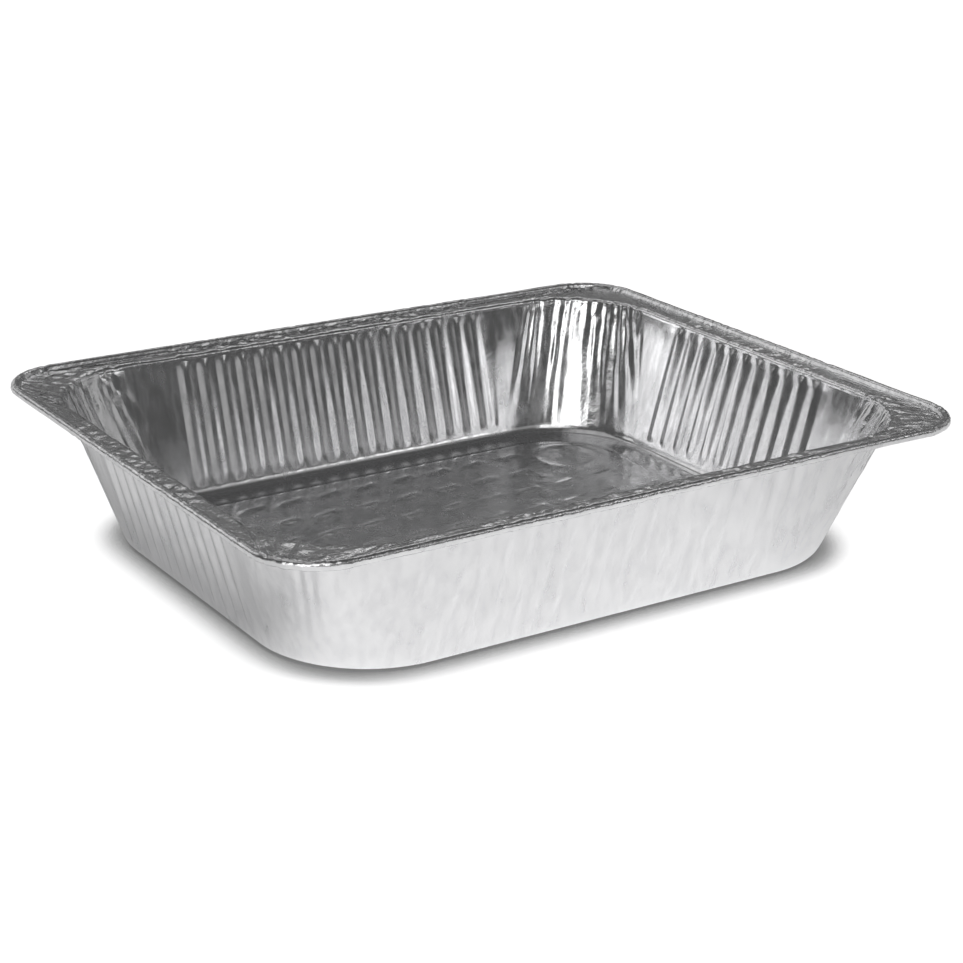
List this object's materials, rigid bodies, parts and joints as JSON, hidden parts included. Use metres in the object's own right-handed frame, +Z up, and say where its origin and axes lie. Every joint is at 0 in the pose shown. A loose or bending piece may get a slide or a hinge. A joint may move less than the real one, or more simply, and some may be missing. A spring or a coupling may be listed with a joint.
{
  "type": "foil roasting pan",
  "caption": "Deep rectangular foil roasting pan: fluted sloping walls, pleated round corners, flat flange with a rolled edge, and an embossed floor panel.",
  "frame": {"origin": "centre of the base, on the table the pan stands on", "axes": "+X along the long side, +Y along the short side, +Z up out of the well"},
  "size_m": [0.324, 0.264, 0.0635],
  "materials": {
    "foil": "bright rolled aluminium foil, drawn with flutes, pleats and fine creases"
  },
  "bodies": {
    "root": {"pan": "foil"}
  },
  "joints": []
}
